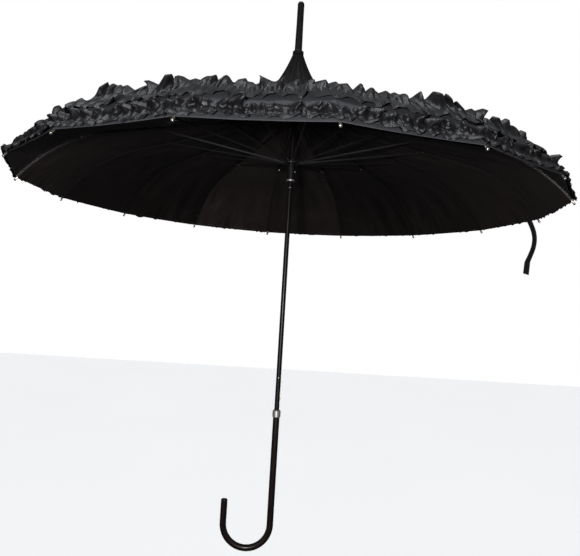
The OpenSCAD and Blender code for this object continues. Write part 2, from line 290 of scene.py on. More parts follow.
class Shader:
    """A material with one Principled shader, and short calls for the nodes that feed it."""

    def __init__(self, name, **values):
        self.material = bpy.data.materials.new(name)
        self.material.use_nodes = True
        self.nodes = self.material.node_tree.nodes
        self.links = self.material.node_tree.links
        self.surface = self.nodes["Principled BSDF"]
        for socket, value in values.items():
            self.surface.inputs[socket.replace("_", " ")].default_value = value

    def set_or_link(self, socket, value):
        if isinstance(value, bpy.types.NodeSocket):
            self.links.new(value, socket)
        else:
            socket.default_value = value

    def node(self, kind, inputs=None, **settings):
        made = self.nodes.new(kind)
        for key, value in settings.items():
            setattr(made, key, value)
        for key, value in (inputs or {}).items():
            self.set_or_link(made.inputs[key], value)
        return made

    def feed(self, socket, value):
        self.links.new(value, self.surface.inputs[socket])

    def math(self, operation, *values):
        return self.node("ShaderNodeMath", dict(enumerate(values)), operation=operation).outputs[0]

    def plus(self, first, second):
        return self.math("ADD", first, second)

    def minus(self, first, second):
        return self.math("SUBTRACT", first, second)

    def times(self, first, second):
        return self.math("MULTIPLY", first, second)

    def distance(self, value):
        return self.math("ABSOLUTE", value)

    def ripple(self, value, pitch):
        """A wave from -1 to 1 that repeats at a pitch."""
        return self.math("SINE", self.times(value, 2 * math.pi / pitch))

    def plus_share(self, first, share, second):
        """first, plus a share of second."""
        return self.plus(first, self.times(second, share))

    def ramp(self, value, low, high, out_low=0.0, out_high=1.0):
        """out_low where value is low and out_high where it is high, held at both ends."""
        ends = {"Value": value, "From Min": low, "From Max": high, "To Min": out_low, "To Max": out_high}
        return self.node("ShaderNodeMapRange", ends).outputs["Result"]

    def noise(self, where, scale, detail=3.0, rough=0.55):
        values = {"Vector": where, "Scale": scale, "Detail": detail, "Roughness": rough}
        return self.node("ShaderNodeTexNoise", values).outputs["Fac"]

    def stretched_noise(self, where, scale, detail, rough=0.55):
        """Noise that is drawn out along the axes with a low scale."""
        stretched = self.node("ShaderNodeMapping", {"Vector": where, "Scale": scale}).outputs[0]
        return self.noise(stretched, 1.0, detail, rough)

    def mix(self, share, first, second):
        made = self.node("ShaderNodeMix", data_type="RGBA")
        sockets = (made.inputs[0], made.inputs[6], made.inputs[7])
        for socket, value in zip(sockets, (share, first, second)):
            self.set_or_link(socket, value)
        return made.outputs[2]

    def tinted(self, body, factor):
        return self.node("ShaderNodeVectorMath", {0: body, 1: factor}, operation="MULTIPLY").outputs[0]

    def map(self, name):
        return self.node("ShaderNodeUVMap", uv_map=name).outputs[0]

    def rest(self):
        """Coordinates that stay with a rigid part, in metres in the part's rest place."""
        return self.node("ShaderNodeTexCoord").outputs["Object"]

    def split(self, vector):
        return self.node("ShaderNodeSeparateXYZ", {"Vector": vector}).outputs

    def bump(self, *layers):
        """Bump from pairs of height and depth in metres, one over the other."""
        normal = None
        for height, depth in layers:
            inputs = {"Height": height, "Distance": depth, "Strength": 1.0}
            if normal is not None:
                inputs["Normal"] = normal
            normal = self.node("ShaderNodeBump", inputs).outputs[0]
        self.feed("Normal", normal)


def colour(r, g, b):
    return (r, g, b, 1.0)


def scaled(tone, factor):
    """A colour made darker or lighter."""
    return colour(*(factor * c for c in tone[:3]))


THREAD_PITCH = 0.0002
STITCH_PITCH = 0.0032
STITCH_SHARE = 0.72
STITCH_HALF = 0.00035
SEAM_STITCHES_AT = 0.0017
HEM_STITCHES_AT = 0.0047
STRAP_STITCHES_AT = 0.0046
STRAP_RIB_PITCH = 0.0011


def weave_height(s, u, v):
    """Satin weave: long floating threads one way, crossed by fine ones."""
    warp = s.ripple(u, THREAD_PITCH)
    weft = s.ripple(v, 5 * THREAD_PITCH)
    skew = s.ripple(s.plus_share(u, 0.4, v), 3 * THREAD_PITCH)
    return s.plus_share(s.plus_share(s.times(warp, 0.5), 0.2, weft), 0.3, skew)


def stitch_mask(s, across, along, line, half=STITCH_HALF):
    """Dashes of thread along a line at a distance from a seam."""
    near = s.math("LESS_THAN", s.distance(s.minus(across, line)), half)
    run = s.math("FRACT", s.math("DIVIDE", along, STITCH_PITCH))
    return s.times(near, s.math("LESS_THAN", run, STITCH_SHARE))


# Painted shade: the outside of the tall peak, the same cloth as the rest but lit less, is painted nearly
# black and turns to the tone of the rest between these lengths.
PEAK_PAINTED_SHADE = colour(0.003, 0.0022, 0.0020)
PEAK_SHADE_FROM = 0.13
PEAK_SHADE_TO = 0.30


def gore_tone_and_sheen(s, place, cloth, tones, sheen_streaks):
    """Tone of a gore from its attribute, which inside is painted sheen, and stripes of painted sheen, lighter
    and darker, in places.
    """
    gore = s.node("ShaderNodeAttribute", attribute_name=tones).outputs["Fac"]
    # Stretched noise for the stripes of painted sheen.
    drawn = s.stretched_noise(cloth, (52.0, 8.0, 1.0), 4.0, 0.6)
    sheen_part = s.ramp(s.noise(place, 5.0, 2.0), 0.42, 0.58)
    sheen_streak = s.minus(s.ramp(drawn, 0.38, 0.64, sheen_streaks[0], sheen_streaks[1]), 1.0)
    return s.times(gore, s.plus(s.times(sheen_part, sheen_streak), 1.0))


def canopy_stitches(s, u, v):
    """Stitches beside each seam and along the hem, which fade out on the narrow peak."""
    from_hem = s.minus(HEM_ALONG, v)
    beside_seam = stitch_mask(s, s.distance(u), v, SEAM_STITCHES_AT)
    along_hem = stitch_mask(s, from_hem, u, HEM_STITCHES_AT)
    return s.times(s.math("MAXIMUM", beside_seam, along_hem), s.ramp(v, 0.08, 0.16))


def canopy_cloth(name, tones, dark, light, thread, specular, rough, peak_dark, sheen_streaks):
    """One side of the canopy cloth: weave, slubs, seams along the ribs, and a stitched hem.
    tones names the attribute of the gores, which on the inside holds painted sheen, peak_dark is how much of
    the painted shade PEAK_PAINTED_SHADE the peak takes, and sheen_streaks are the lowest and the highest tone
    of the stripes of painted sheen."""
    s = Shader(name, Specular_IOR_Level=specular, Anisotropic=0.45)
    place, cloth = s.map("Place"), s.map("Cloth")
    u, v = s.split(cloth)[0], s.split(cloth)[1]
    broad = s.noise(place, 9.0, 4.0)
    slub = s.stretched_noise(cloth, (260.0, 22.0, 1.0), 3.0)
    fine = s.noise(cloth, 900.0, 2.0)
    tone = s.plus_share(s.plus_share(s.times(broad, 0.55), 0.35, slub), 0.1, fine)
    body = s.mix(s.ramp(tone, 0.3, 0.72), dark, light)
    body = s.tinted(body, gore_tone_and_sheen(s, place, cloth, tones, sheen_streaks))
    # Painted shade: the peak is painted towards near black.
    body = s.mix(s.ramp(v, PEAK_SHADE_FROM, PEAK_SHADE_TO, peak_dark, 0.0), body, PEAK_PAINTED_SHADE)
    seam_shade = s.ramp(s.distance(u), 0.0, 0.0032, 0.62, 0.0)
    seam_shade = s.times(seam_shade, s.ramp(v, 0.02, 0.12, 0.15, 1.0))
    body = s.mix(seam_shade, body, scaled(dark, 0.35))
    stitches = canopy_stitches(s, u, v)
    s.feed("Base Color", s.mix(stitches, body, thread))
    s.feed("Roughness", s.ramp(s.plus_share(broad, 0.4, slub), 0.45, 0.95, rough - 0.07, rough + 0.07))
    s.bump(
        (s.stretched_noise(place, (34.0, 9.0, 1.0), 3.0, 0.5), 0.0016),
        (s.noise(place, 55.0, 3.0), 0.0006),
        (weave_height(s, u, v), 0.00002),
        (s.plus(slub, stitches), 0.00012),
    )
    return s.material


def ruffle_satin(name):
    """Black satin of the ruffles: soft creases across the strip, slubs, and a stitched gathering line."""
    s = Shader(
        name,
        Specular_IOR_Level=0.33,
        Sheen_Weight=0.01,
        Sheen_Roughness=0.3,
        Sheen_Tint=colour(0.78, 0.84, 1.0),
        Anisotropic=0.5,
    )
    place, cloth = s.map("Place"), s.map("Cloth")
    u, v = s.split(cloth)[0], s.split(cloth)[1]
    broad = s.noise(place, 34.0, 4.0)
    slub = s.stretched_noise(cloth, (420.0, 30.0, 1.0), 3.0)
    tone = s.ramp(s.plus_share(s.times(broad, 0.7), 0.3, slub), 0.3, 0.7)
    body = s.mix(tone, colour(0.0029, 0.0030, 0.0038), colour(0.0072, 0.0075, 0.0095))
    # Darker towards the sewn line in the middle of the strip.
    gathered = s.ramp(s.distance(v), 0.0, 0.002, 0.75, 0.0)
    body = s.mix(gathered, body, colour(0.004, 0.004, 0.005))
    stitches = stitch_mask(s, s.distance(v), u, 0.0, 0.0003)
    s.feed("Base Color", s.mix(stitches, body, colour(0.05, 0.05, 0.06)))
    s.feed("Roughness", s.ramp(s.plus_share(broad, 0.5, slub), 0.5, 1.05, 0.34, 0.48))
    s.bump(
        (s.stretched_noise(cloth, (190.0, 42.0, 1.0), 2.0, 0.5), 0.0011),
        (weave_height(s, u, v), 0.000015),
        (s.plus(slub, stitches), 0.0001),
    )
    return s.material


def strap_cloth(name):
    """Narrow strap: ribbed weave across it and a row of stitches along each edge."""
    s = Shader(name, Specular_IOR_Level=0.4, Sheen_Weight=0.2, Sheen_Roughness=0.35, Roughness=0.55)
    cloth = s.map("Cloth")
    u, v = s.split(cloth)[0], s.split(cloth)[1]
    worn = s.noise(cloth, 160.0, 4.0)
    body = s.mix(worn, colour(0.010, 0.009, 0.010), colour(0.026, 0.023, 0.025))
    stitches = stitch_mask(s, s.distance(u), v, STRAP_STITCHES_AT)
    s.feed("Base Color", s.mix(stitches, body, colour(0.07, 0.065, 0.07)))
    s.feed("Roughness", s.ramp(worn, 0.3, 0.7, 0.45, 0.66))
    s.bump((s.ripple(v, STRAP_RIB_PITCH), 0.00006), (s.plus(worn, stitches), 0.00016))
    return s.material


def lacquer(name, dark, light, grain, rough, coat, wear):
    """Dark lacquer on wood or tube: grain along the height, rubbed patches and fine scratches round it."""
    s = Shader(name, Coat_Weight=coat, Coat_Roughness=0.16, Specular_IOR_Level=0.28)
    rest = s.rest()
    lines = s.stretched_noise(rest, (520.0, 520.0, grain), 4.0, 0.62)
    broad = s.noise(rest, 34.0, 4.0)
    scratch = s.stretched_noise(rest, (150.0, 150.0, 1300.0), 2.0, 0.5)
    body = s.mix(s.ramp(lines, 0.32, 0.68), dark, light)
    rubbed = s.times(s.ramp(broad, 0.52, 0.75), s.ramp(lines, 0.45, 0.7))
    s.feed("Base Color", s.mix(s.times(rubbed, wear), body, scaled(light, 4.5)))
    s.feed("Roughness", s.ramp(s.plus_share(broad, 0.5, scratch), 0.5, 1.1, rough - 0.09, rough + 0.12))
    s.bump((lines, 0.00009), (scratch, 0.00003))
    return s.material


def enamel(name, tip_from):
    """Black enamel on pressed steel, worn to bare metal in small chips, with a bright bare ball tip."""
    s = Shader(name, Specular_IOR_Level=0.6, Coat_Weight=0.6, Coat_Roughness=0.13)
    rest = s.rest()
    x, y = s.split(rest)[0], s.split(rest)[1]
    radius = s.math("SQRT", s.plus(s.times(x, x), s.times(y, y)))
    tip = s.math("GREATER_THAN", radius, tip_from)
    peel = s.noise(rest, 900.0, 3.0)
    patch = s.noise(rest, 60.0, 4.0, 0.6)
    chip = s.times(s.ramp(s.noise(rest, 420.0, 5.0, 0.7), 0.66, 0.7), s.ramp(patch, 0.5, 0.62))
    black = s.mix(patch, colour(0.009, 0.009, 0.010), colour(0.020, 0.019, 0.020))
    body = s.mix(chip, black, colour(0.24, 0.22, 0.20))
    nickel = s.mix(patch, colour(0.50, 0.48, 0.43), colour(0.64, 0.61, 0.56))
    s.feed("Base Color", s.mix(tip, body, nickel))
    s.feed("Metallic", s.times(s.math("MAXIMUM", tip, chip), 0.85))
    s.feed("Roughness", s.minus(s.ramp(peel, 0.3, 0.7, 0.26, 0.4), s.times(tip, 0.1)))
    s.bump((peel, 0.00001), (s.minus(1.0, chip), 0.00006))
    return s.material


def moulded(name):
    """Black moulded plastic: fine spark texture, polished patches where it is handled."""
    s = Shader(name, Specular_IOR_Level=0.25)
    rest = s.rest()
    spark = s.noise(rest, 1500.0, 3.0, 0.6)
    patch = s.noise(rest, 75.0, 4.0)
    s.feed("Base Color", s.mix(patch, colour(0.006, 0.006, 0.006), colour(0.013, 0.012, 0.012)))
    s.feed("Roughness", s.ramp(patch, 0.35, 0.68, 0.36, 0.55))
    s.bump((spark, 0.00005), (patch, 0.00015))
    return s.material


def plated(name, base, rough, brush):
    """Plated or bare metal with turning lines and a few dull specks."""
    s = Shader(name, Metallic=0.8)
    rest = s.rest()
    lines = s.stretched_noise(rest, (60.0, 60.0, brush), 3.0, 0.5)
    speck = s.ramp(s.noise(rest, 520.0, 4.0, 0.65), 0.62, 0.72)
    patch = s.noise(rest, 90.0, 3.0)
    body = s.mix(patch, base, scaled(base, 0.8))
    s.feed("Base Color", s.mix(speck, body, scaled(base, 0.35)))
    s.feed("Roughness", s.plus_share(s.ramp(lines, 0.3, 0.7, rough - 0.04, rough + 0.08), 0.25, speck))
    s.bump((lines, 0.00003), (s.minus(1.0, speck), 0.00005))
    return s.material


# Painted light: the outside is the same cloth as the inside, painted lighter and bluer where the cool
# overhead light falls on it.
OUTSIDE = canopy_cloth(
    "canopy_outside_painted_light",
    "tone_outside",
    dark=colour(0.053, 0.056, 0.064),
    light=colour(0.084, 0.088, 0.099),
    thread=colour(0.075, 0.076, 0.085),
    specular=0.08,
    rough=0.62,
    peak_dark=0.97,
    sheen_streaks=(0.94, 1.06),
)
# Painted shade: the inside is the same cloth, painted darker and warmer as it lies in the shade of the
# canopy.
INSIDE = canopy_cloth(
    "canopy_inside_painted_shade",
    "painted_sheen_inside",
    dark=colour(0.0098, 0.0071, 0.0073),
    light=colour(0.0200, 0.0154, 0.0157),
    thread=colour(0.016, 0.014, 0.013),
    specular=0.35,
    rough=0.4,
    peak_dark=0.0,
    sheen_streaks=(0.55, 1.6),
)
SATIN = ruffle_satin("ruffle_satin")
STRAP = strap_cloth("strap_cloth")

# The full material of each slot in the record that a carried-over part uses
FINISHES = {
    "shaft_tube": lacquer(
        "shaft_lacquer",
        dark=colour(0.0055, 0.0040, 0.0038),
        light=colour(0.0125, 0.0095, 0.0088),
        grain=9.0,
        rough=0.36,
        coat=0.06,
        wear=0.1,
    ),
    "tip_wood": lacquer(
        "tip_stain",
        dark=colour(0.006, 0.0045, 0.004),
        light=colour(0.014, 0.011, 0.010),
        grain=16.0,
        rough=0.5,
        coat=0.03,
        wear=0.2,
    ),
    "handle": lacquer(
        "handle_lacquer",
        dark=colour(0.0085, 0.0055, 0.0050),
        light=colour(0.018, 0.0125, 0.0110),
        grain=14.0,
        rough=0.34,
        coat=0.2,
        wear=0.1,
    ),
    "black_plastic": moulded("black_moulding"),
    "rib_steel": enamel("rib_enamel", tip_from=RIB_TIP_R),
    "wire": plated("pivot_wire", colour(0.85, 0.83, 0.80), rough=0.4, brush=900.0),
    "catch_steel": plated("catch_spring_steel", colour(0.50, 0.50, 0.50), rough=0.34, brush=400.0),
    "bright_metal": plated("chrome_ring", colour(0.90, 0.89, 0.87), rough=0.36, brush=1500.0),
}


def finish_cad_parts():
    """Each carried-over part takes the full material of its slot in the record."""
    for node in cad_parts.values():
        for place in node.material_slots:
            if place.material:
                slot = place.material.name.split(".")[0]
                place.material = FINISHES.get(slot, place.material)


# --------------------------------------------------------------------- canopy

# Each gore was cut on its own, so its tone outside differs at random from that of the next. The tones inside
# are painted sheen, lighter on the gores that catch the light. Gore k is past rib k.
OUTSIDE_TONES = np.random.default_rng(5).uniform(0.92, 1.08, RIBS)
INSIDE_PAINTED_SHEEN = np.array([1.7, 1.0, 0.85, 1.7, 2.3, 0.85, 0.85, 1.9, 1.7, 1.2, 0.85, 1.1, 0.8, 1.15, 1.1, 2.0])

# Rows of points in the close and the wide part of a peak piece, in a panel, and in a hem piece up to its
# turned edge, and columns from a seam's edge to the middle of a gore
PEAK_CLOSE_ROWS = 26
PEAK_WIDE_ROWS = 28
PANEL_ROWS = 68
HEM_ROWS = 14
GORE_COLUMNS = 9

# A seam is doubled cloth: how far it stands out and in, how steep its sides are, and the most of half a gore
# that it takes. Inside a radius it gets flatter, down to a least share.
SEAM_OUT = 0.0003
SEAM_IN = 0.0002
SEAM_STEEP = 1.6
SEAM_MOST = 0.35
SEAM_FULL_R = 0.06
SEAM_LEAST = 0.12

# A peak piece has a flap along each side, tucked this deep under its neighbour: the width of the step down to
# it, and the flap's least width, with what is added to that at some radii
TUCK_DEPTH = 0.0009
TUCK_OVER = 0.0006
FLAP_LEAST = 0.0008
FLAP_AT_R = [0.008, 0.016, 0.1, 0.13]
FLAP_EXTRA = [0.0, 0.0035, 0.0035, 0.0008]

# Lengths from the collar where the cloth starts and where its rows get further apart
PEAK_START = 0.0006
PEAK_CLOSE_TO = 0.05

# Radius that turns bearings into lengths in the map round the canopy
PLACE_R = 0.3


def add_gore_tones(obj, rib):
    """A face knows its gore by its side of the rib."""
    centres = np.zeros(3 * len(obj.data.polygons))
    obj.data.polygons.foreach_get("center", centres)
    x, y = centres[0::3], centres[1::3]
    offset = (np.arctan2(y, x) - rib_bearing(rib) + math.pi) % (2 * math.pi) - math.pi
    # The outside takes the gores' own tones, the inside their painted sheen.
    for name, tones in (("tone_outside", OUTSIDE_TONES), ("painted_sheen_inside", INSIDE_PAINTED_SHEEN)):
        attribute = obj.data.attributes.new(name, "FLOAT", "FACE")
        values = np.where(offset < 0, tones[(rib - 1) % RIBS], tones[rib])
        attribute.data.foreach_set("value", values.astype(np.float32))


def seam_width(width):
    """Half the width of the seam where half a gore is that wide."""
    return np.minimum(SEAM_W, SEAM_MOST * width)


def across_columns(width, flap):
    """Distances from the seam over both halves of a piece, closer together at the seam, with any flap."""
    seam = seam_width(width)
    steps = [0 * seam, 0.5 * seam, seam]
    steps += [seam + (width - seam) * k / GORE_COLUMNS for k in range(1, GORE_COLUMNS + 1)]
    if flap is not None:
        steps += [width + TUCK_OVER, width + flap]
    half = np.stack(steps, -1)
    return np.concatenate([-half[:, :0:-1], half], 1)


def shell_lifts(across, along, width, base_r, hem):
    """Heights of the outer and the inner face over the middle of the cloth."""
    seam = np.clip(SEAM_STEEP - SEAM_STEEP * np.abs(across) / seam_width(width)[:, None], 0, 1)
    seam = seam * np.clip(base_r / SEAM_FULL_R, SEAM_LEAST, 1)[:, None]
    thick = CLOTH_HALF + 0 * across
    if hem:
        thick = thick + HEM_TURN * np.clip((along - (HEM_ALONG - HEM_W)) / HEM_STEP, 0, 1)[:, None]
    tucked = np.where(np.abs(across / width[:, None]) > 1.00001, TUCK_DEPTH, 0.0)
    return thick + SEAM_OUT * seam - tucked, -thick - SEAM_IN * seam - tucked


def canopy_shell(name, rib, along, hem, flap):
    """A piece of canopy about one rib, as an outer and an inner face joined at the last row."""
    base_r = radius_at(along)
    width = base_r * math.cos(HALF_STEP) * math.tan(HALF_STEP)
    across = across_columns(width, flap)
    bearing = rib_bearing(rib) + np.arctan2(across, (base_r * math.cos(HALF_STEP))[:, None] + 0 * across)
    lift_out, lift_in = shell_lifts(across, along, width, base_r, hem)
    grid = along[:, None] + 0 * across
    cloth = np.stack([across, grid], -1)
    place = np.stack([bearing * PLACE_R, grid], -1)
    faces = [cloth_surface(bearing, grid, lift_out), cloth_surface(bearing, grid, lift_in)[::-1]]
    cloths = [cloth, cloth[::-1]]
    places = [place, place[::-1]]
    row_slot = [0] * len(along) + [1] * (len(along) - 1)
    if hem:
        # One more row rounds the folded edge.
        faces.insert(1, cloth_surface(bearing[-1:], grid[-1:] + HEM_ROUND, 0 * across[-1:]))
        cloths.insert(1, cloth[-1:])
        places.insert(1, place[-1:])
        row_slot.insert(0, 0)
    obj = grid_object(
        name,
        np.concatenate(faces),
        np.concatenate(cloths),
        np.concatenate(places),
        [OUTSIDE, INSIDE],
        row_slot,
        shell=True,
    )
    add_gore_tones(obj, rib)
    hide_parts("canopy")
    return obj


def cloth_piece(name, rib, rows, hem):
    """A part of a gore that follows its rib."""
    piece = canopy_shell(name, rib, rows, hem, None)
    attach(piece, f"rib_{rib:02d}")
    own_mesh(piece)


def peak_piece(name, rib, rows, flaps):
    """A part of the tall peak, which stays at the collar."""
    piece = canopy_shell(name, rib, rows, False, flaps)
    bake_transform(piece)


def build_canopy():
    """Sixteen pieces each of peak, panel and hem, on one continuous outline."""
    split, hem_split = along_at(PEAK_OUT_R), along_at(HEM_PIECE_R)
    close = np.linspace(PEAK_START, PEAK_CLOSE_TO, PEAK_CLOSE_ROWS)[:-1]
    peak = np.concatenate([close, np.linspace(PEAK_CLOSE_TO, split, PEAK_WIDE_ROWS)])
    flaps = FLAP_LEAST + np.interp(radius_at(peak), FLAP_AT_R, FLAP_EXTRA)
    panel = np.linspace(split, hem_split, PANEL_ROWS)
    turned = HEM_ALONG - HEM_W
    hem = np.concatenate([np.linspace(hem_split, turned, HEM_ROWS), turned + HEM_W / 4 * np.arange(1, 5)])
    for rib in range(RIBS):
        peak_piece(f"canopy_peak_{rib:02d}", rib, peak, flaps)
        cloth_piece(f"canopy_panel_{rib:02d}", rib, panel, False)
        cloth_piece(f"canopy_hem_{rib:02d}", rib, hem, True)


# -------------------------------------------------------------------- ruffles

# Places of the coarse points across a strip, from its upper edge to its lower edge
ROWS = np.array([-1.0, -0.82, -0.58, -0.32, -0.1, 0.1, 0.32, 0.58, 0.82, 1.0])
# Mean distance of the coarse points round it, and fine steps between two coarse points each way
PLEAT = 0.0048
STEPS_ROUND = 3
STEPS_ACROSS = 3
# A strip starts in the middle of the gore before rib_00.
STRIP_START = PHASE - HALF_STEP

# node is the CAD solid that a tier replaces, low_r and high_r are the rib's radii at its edges, stand is the
# height of its folds, fullness the cut length over the sewn length, front the share of their height that the
# folds have on the gore at the front, and keep the share of its width that a piece keeps when closed.
Tier = namedtuple("Tier", "name node low_r high_r stand fullness seed front keep")
TIERS = [
    Tier(
        name="upper_ruffle_strip",
        node="upper_ruffle",
        low_r=0.366,
        high_r=0.4075,
        stand=0.0125,
        fullness=1.6,
        seed=21,
        front=0.85,
        keep=UPPER_RUFFLE_KEEP,
    ),
    Tier(
        name="lower_ruffle_strip",
        node="lower_ruffle",
        low_r=0.4215,
        high_r=0.4392,
        stand=0.0100,
        fullness=1.6,
        seed=33,
        front=1.05,
        keep=LOWER_RUFFLE_KEEP,
    ),
]

# Heights over the middle of the canopy cloth: the least, at the sewn line, and at the free edges. A pleat
# adds to the last two.
RUFFLE_LEAST = 0.0005
SEWN_HEIGHT = 0.0007
EDGE_HEIGHT = 0.0008
PLEAT_AT_LINE = 0.0034
PLEAT_AT_EDGE = 0.0021
# Height of the folds of the outer, lower edge against those of the upper edge
LOWER_FOLDS = 0.52
# Off the front gore the folds have this share of their height, and the strip is wider by this share.
SIDE_STAND = 1.1
SIDE_WIDER = 0.22
# How far a strip wanders up and down the canopy
WANDER = 0.0016


def smooth_step(value, low, high):
    t = np.clip((value - low) / (high - low), 0, 1)
    return t * t * (3 - 2 * t)


def neighbours(values, closed):
    """For each stretch of a line of points: the point before it, its two ends, and the point after it."""
    if closed:
        return np.roll(values, 1, 0), values, np.roll(values, -1, 0), np.roll(values, -2, 0)
    padded = np.concatenate([2 * values[:1] - values[1:2], values, 2 * values[-1:] - values[-2:-1]])
    return padded[:-3], padded[1:-2], padded[2:-1], padded[3:]


def spread(values, steps, axis, crisp, closed):
    """Fills a coarse grid in between its points, smooth where crisp is 0 and flat-faced where it is 1."""
    values = np.moveaxis(values, axis, 0)
    crisp = np.moveaxis(crisp, axis, 0)
    before, here, after, second = neighbours(values, closed)
    crisp_here = crisp if closed else crisp[:-1]
    crisp_next = np.roll(crisp, -1, 0) if closed else crisp[1:]
    rows = []
    for k in range(steps):
        t = k / steps
        bend = 2 * before - 5 * here + 4 * after - second + t * (3 * (here - after) + second - before)
        smooth = here + 0.5 * t * (after - before + t * bend)
        flat = here + t * (after - here)
        share = (1 - t) * crisp_here + t * crisp_next
        rows.append(smooth + share[..., None] * (flat - smooth))
    filled = np.stack(rows, 1).reshape((-1,) + values.shape[1:])
    if not closed:
        filled = np.concatenate([filled, values[-1:]])
    return np.moveaxis(filled, 0, axis)


def sewn_line(rng, length):
    """Uneven places round the sewn line, in turn between two pleats and on one, and the height of each."""
    count = 2 * int(length / PLEAT / 2)
    gaps = rng.uniform(0.6, 1.4, count)
    line = length * (np.cumsum(gaps) - gaps[0]) / gaps.sum()
    return line, (np.arange(count) % 2) * rng.uniform(0.55, 1.0, count)


def edge_folds(rng, line, length):
    """Heights, up to 1.3, and lean of the folds along a free edge, at places along a ring of that length."""
    places, heights, leans = [0.0], [0.1], [0.0]
    while places[-1] < length - 0.02:
        rise, fall = rng.uniform(0.004, 0.014, 2)
        tall = rng.uniform(0.3, 0.85) + (0.45 if rng.random() < 0.14 else 0.0)
        lean = rng.uniform(-1, 1)
        places += [places[-1] + rise, places[-1] + rise + fall]
        heights += [min(tall * min((rise + fall) / 0.011, 1.25), 1.3), rng.uniform(-0.12, 0.12)]
        leans += [lean, 0.3 * lean]
    places = np.array(places) * length / (places[-1] + 0.008)
    return np.interp(line, places, heights, period=length), np.interp(line, places, leans, period=length)


def coarse_folds(tier, rng, length, middle, half):
    """Places along the sewn line, and the coarse points of the strip there: how far each is shifted along the
    line, its length from the collar, its height, and how crisply it is folded."""
    line, pleat = sewn_line(rng, length)
    upper, lean_upper = edge_folds(rng, line, length)
    lower, lean_lower = edge_folds(rng, line, length)
    shape = (len(ROWS), len(line))
    t = ROWS[:, None]
    side = np.abs(t)
    free = smooth_step(side, 0.08, 0.8)
    fold = np.where(t < 0, upper, LOWER_FOLDS * lower)
    lean = np.where(t < 0, lean_upper, lean_lower)
    turned = line / float(radius_at(middle))
    from_front = np.abs((STRIP_START + turned + math.pi / 2 + math.pi) % (2 * math.pi) - math.pi)
    fuller = smooth_step(from_front, 0.7 * HALF_STEP, 1.5 * HALF_STEP)
    swell = 1 + 0.28 * waves(tier.seed + 2, 6, 20, 70)(turned, 0 * line)
    swell = swell * (tier.front + (SIDE_STAND - tier.front) * fuller)
    stand = EDGE_HEIGHT + tier.stand * (0.1 + fold) * swell
    height = SEWN_HEIGHT + (1 - free) * PLEAT_AT_LINE * pleat + free * stand
    height = height + free * PLEAT_AT_EDGE * (pleat - 0.35) + 0.0004 * rng.normal(size=shape)
    height = np.maximum(height, RUFFLE_LEAST)
    # A fold that stands up takes its cloth from the strip's width.
    reach = np.sqrt(np.maximum((side * half) ** 2 - (0.75 * height * free) ** 2, (0.5 * side * half) ** 2))
    reach = np.sign(t) * reach * (1 + SIDE_WIDER * fuller)
    reach = reach + 0.0007 * rng.normal(size=shape) * (0.2 + side)
    wander = WANDER * waves(tier.seed + 3, 5, 15, 50)(turned, 0 * line)
    sideways = lean * (height - 0.002) * free + 0.0004 * rng.normal(size=shape) * (0.4 + side)
    crisp = np.clip(rng.normal(0.5, 0.3, shape), 0, 0.95)
    return line, np.stack([sideways, middle + wander + reach, height], -1), crisp


def build_ruffle(tier):
    """A strip gathered along its middle and sewn down there, cut into one piece for each rib. Small pleats at
    the sewn line run together into fewer, larger folds at both free edges."""
    low, high = along_at(tier.low_r), along_at(tier.high_r)
    middle, half = (low + high) / 2, (high - low) / 2
    round_r = float(radius_at(middle))
    length = 2 * math.pi * round_r
    line, coarse, crisp = coarse_folds(tier, np.random.default_rng(tier.seed), length, middle, half)
    fine = spread(coarse, STEPS_ROUND, 1, crisp, True)
    fine = spread(fine, STEPS_ACROSS, 0, np.repeat(crisp, STEPS_ROUND, 1), False)
    gap = np.append(line[1:], length) - line
    fine_line = (line[:, None] + gap[:, None] * np.arange(STEPS_ROUND) / STEPS_ROUND).ravel()
    bearing = STRIP_START + (fine_line + fine[..., 0]) / round_r
    points = cloth_surface(bearing, fine[..., 1], np.maximum(fine[..., 2], RUFFLE_LEAST))
    rows, total = points.shape[:2]
    across = np.interp(np.linspace(0, 1, rows), np.linspace(0, 1, len(ROWS)), ROWS) * half
    cuts = [int(np.searchsorted(fine_line, length * k / RIBS)) for k in range(RIBS + 1)]
    for rib in range(RIBS):
        pick = np.arange(cuts[rib], cuts[rib + 1] + 1)
        run = (fine_line[pick % total] + length * (pick >= total)) * tier.fullness
        cloth = np.stack(np.broadcast_arrays(run, across[:, None]), -1)
        place = cloth + np.array([0, tier.seed])
        obj = grid_object(f"{tier.name}_{rib:02d}", points[:, pick % total], cloth, place, [SATIN])
        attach(obj, f"rib_{rib:02d}")
        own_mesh(obj)
        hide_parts(tier.node)


# ---------------------------------------------------------------------- strap

STRAP_BEARING = math.radians(10)
STRAP_TOP = RIM_Z + 0.006
STRAP_L = 0.096
STRAP_W = 0.0115
STRAP_T = 0.0009
STRAP_CUT = 0.0035
# One face of the strap's section, as shares of its width and its thickness, with a bead along both edges
SECTION_ACROSS = np.array([-0.5, -0.49, -0.4, -0.2, 0, 0.2, 0.4, 0.49, 0.5])
SECTION_THICK = np.array([0, 0.45, 0.62, 0.5, 0.46, 0.5, 0.62, 0.45, 0])


def drawn_in(ring):
    """A ring of points drawn in towards its middle, which rounds off an end."""
    return 0.2 * ring + 0.8 * (ring.mean(1, keepdims=True) + 0 * ring)


def strap_middle(down, radial, tangent):
    """The strap's middle line, which hangs from the hem in a slow S."""
    out = 0.0025 * np.sin(math.pi * down) + 0.0012 * np.sin(2.2 * math.pi * down)
    bow = 0.0125 * np.sin(math.pi * np.minimum(down * 1.3, 1.0))
    sway = bow - 0.0055 * np.clip((down - 0.5) / 0.5, 0, 1) ** 1.3
    middle = (HEM_R + out)[:, None] * radial + (-sway * 0.55)[:, None] * tangent
    middle = middle + (sway * 0.35)[:, None] * radial
    middle[:, 2] = STRAP_TOP - STRAP_L * down
    return middle


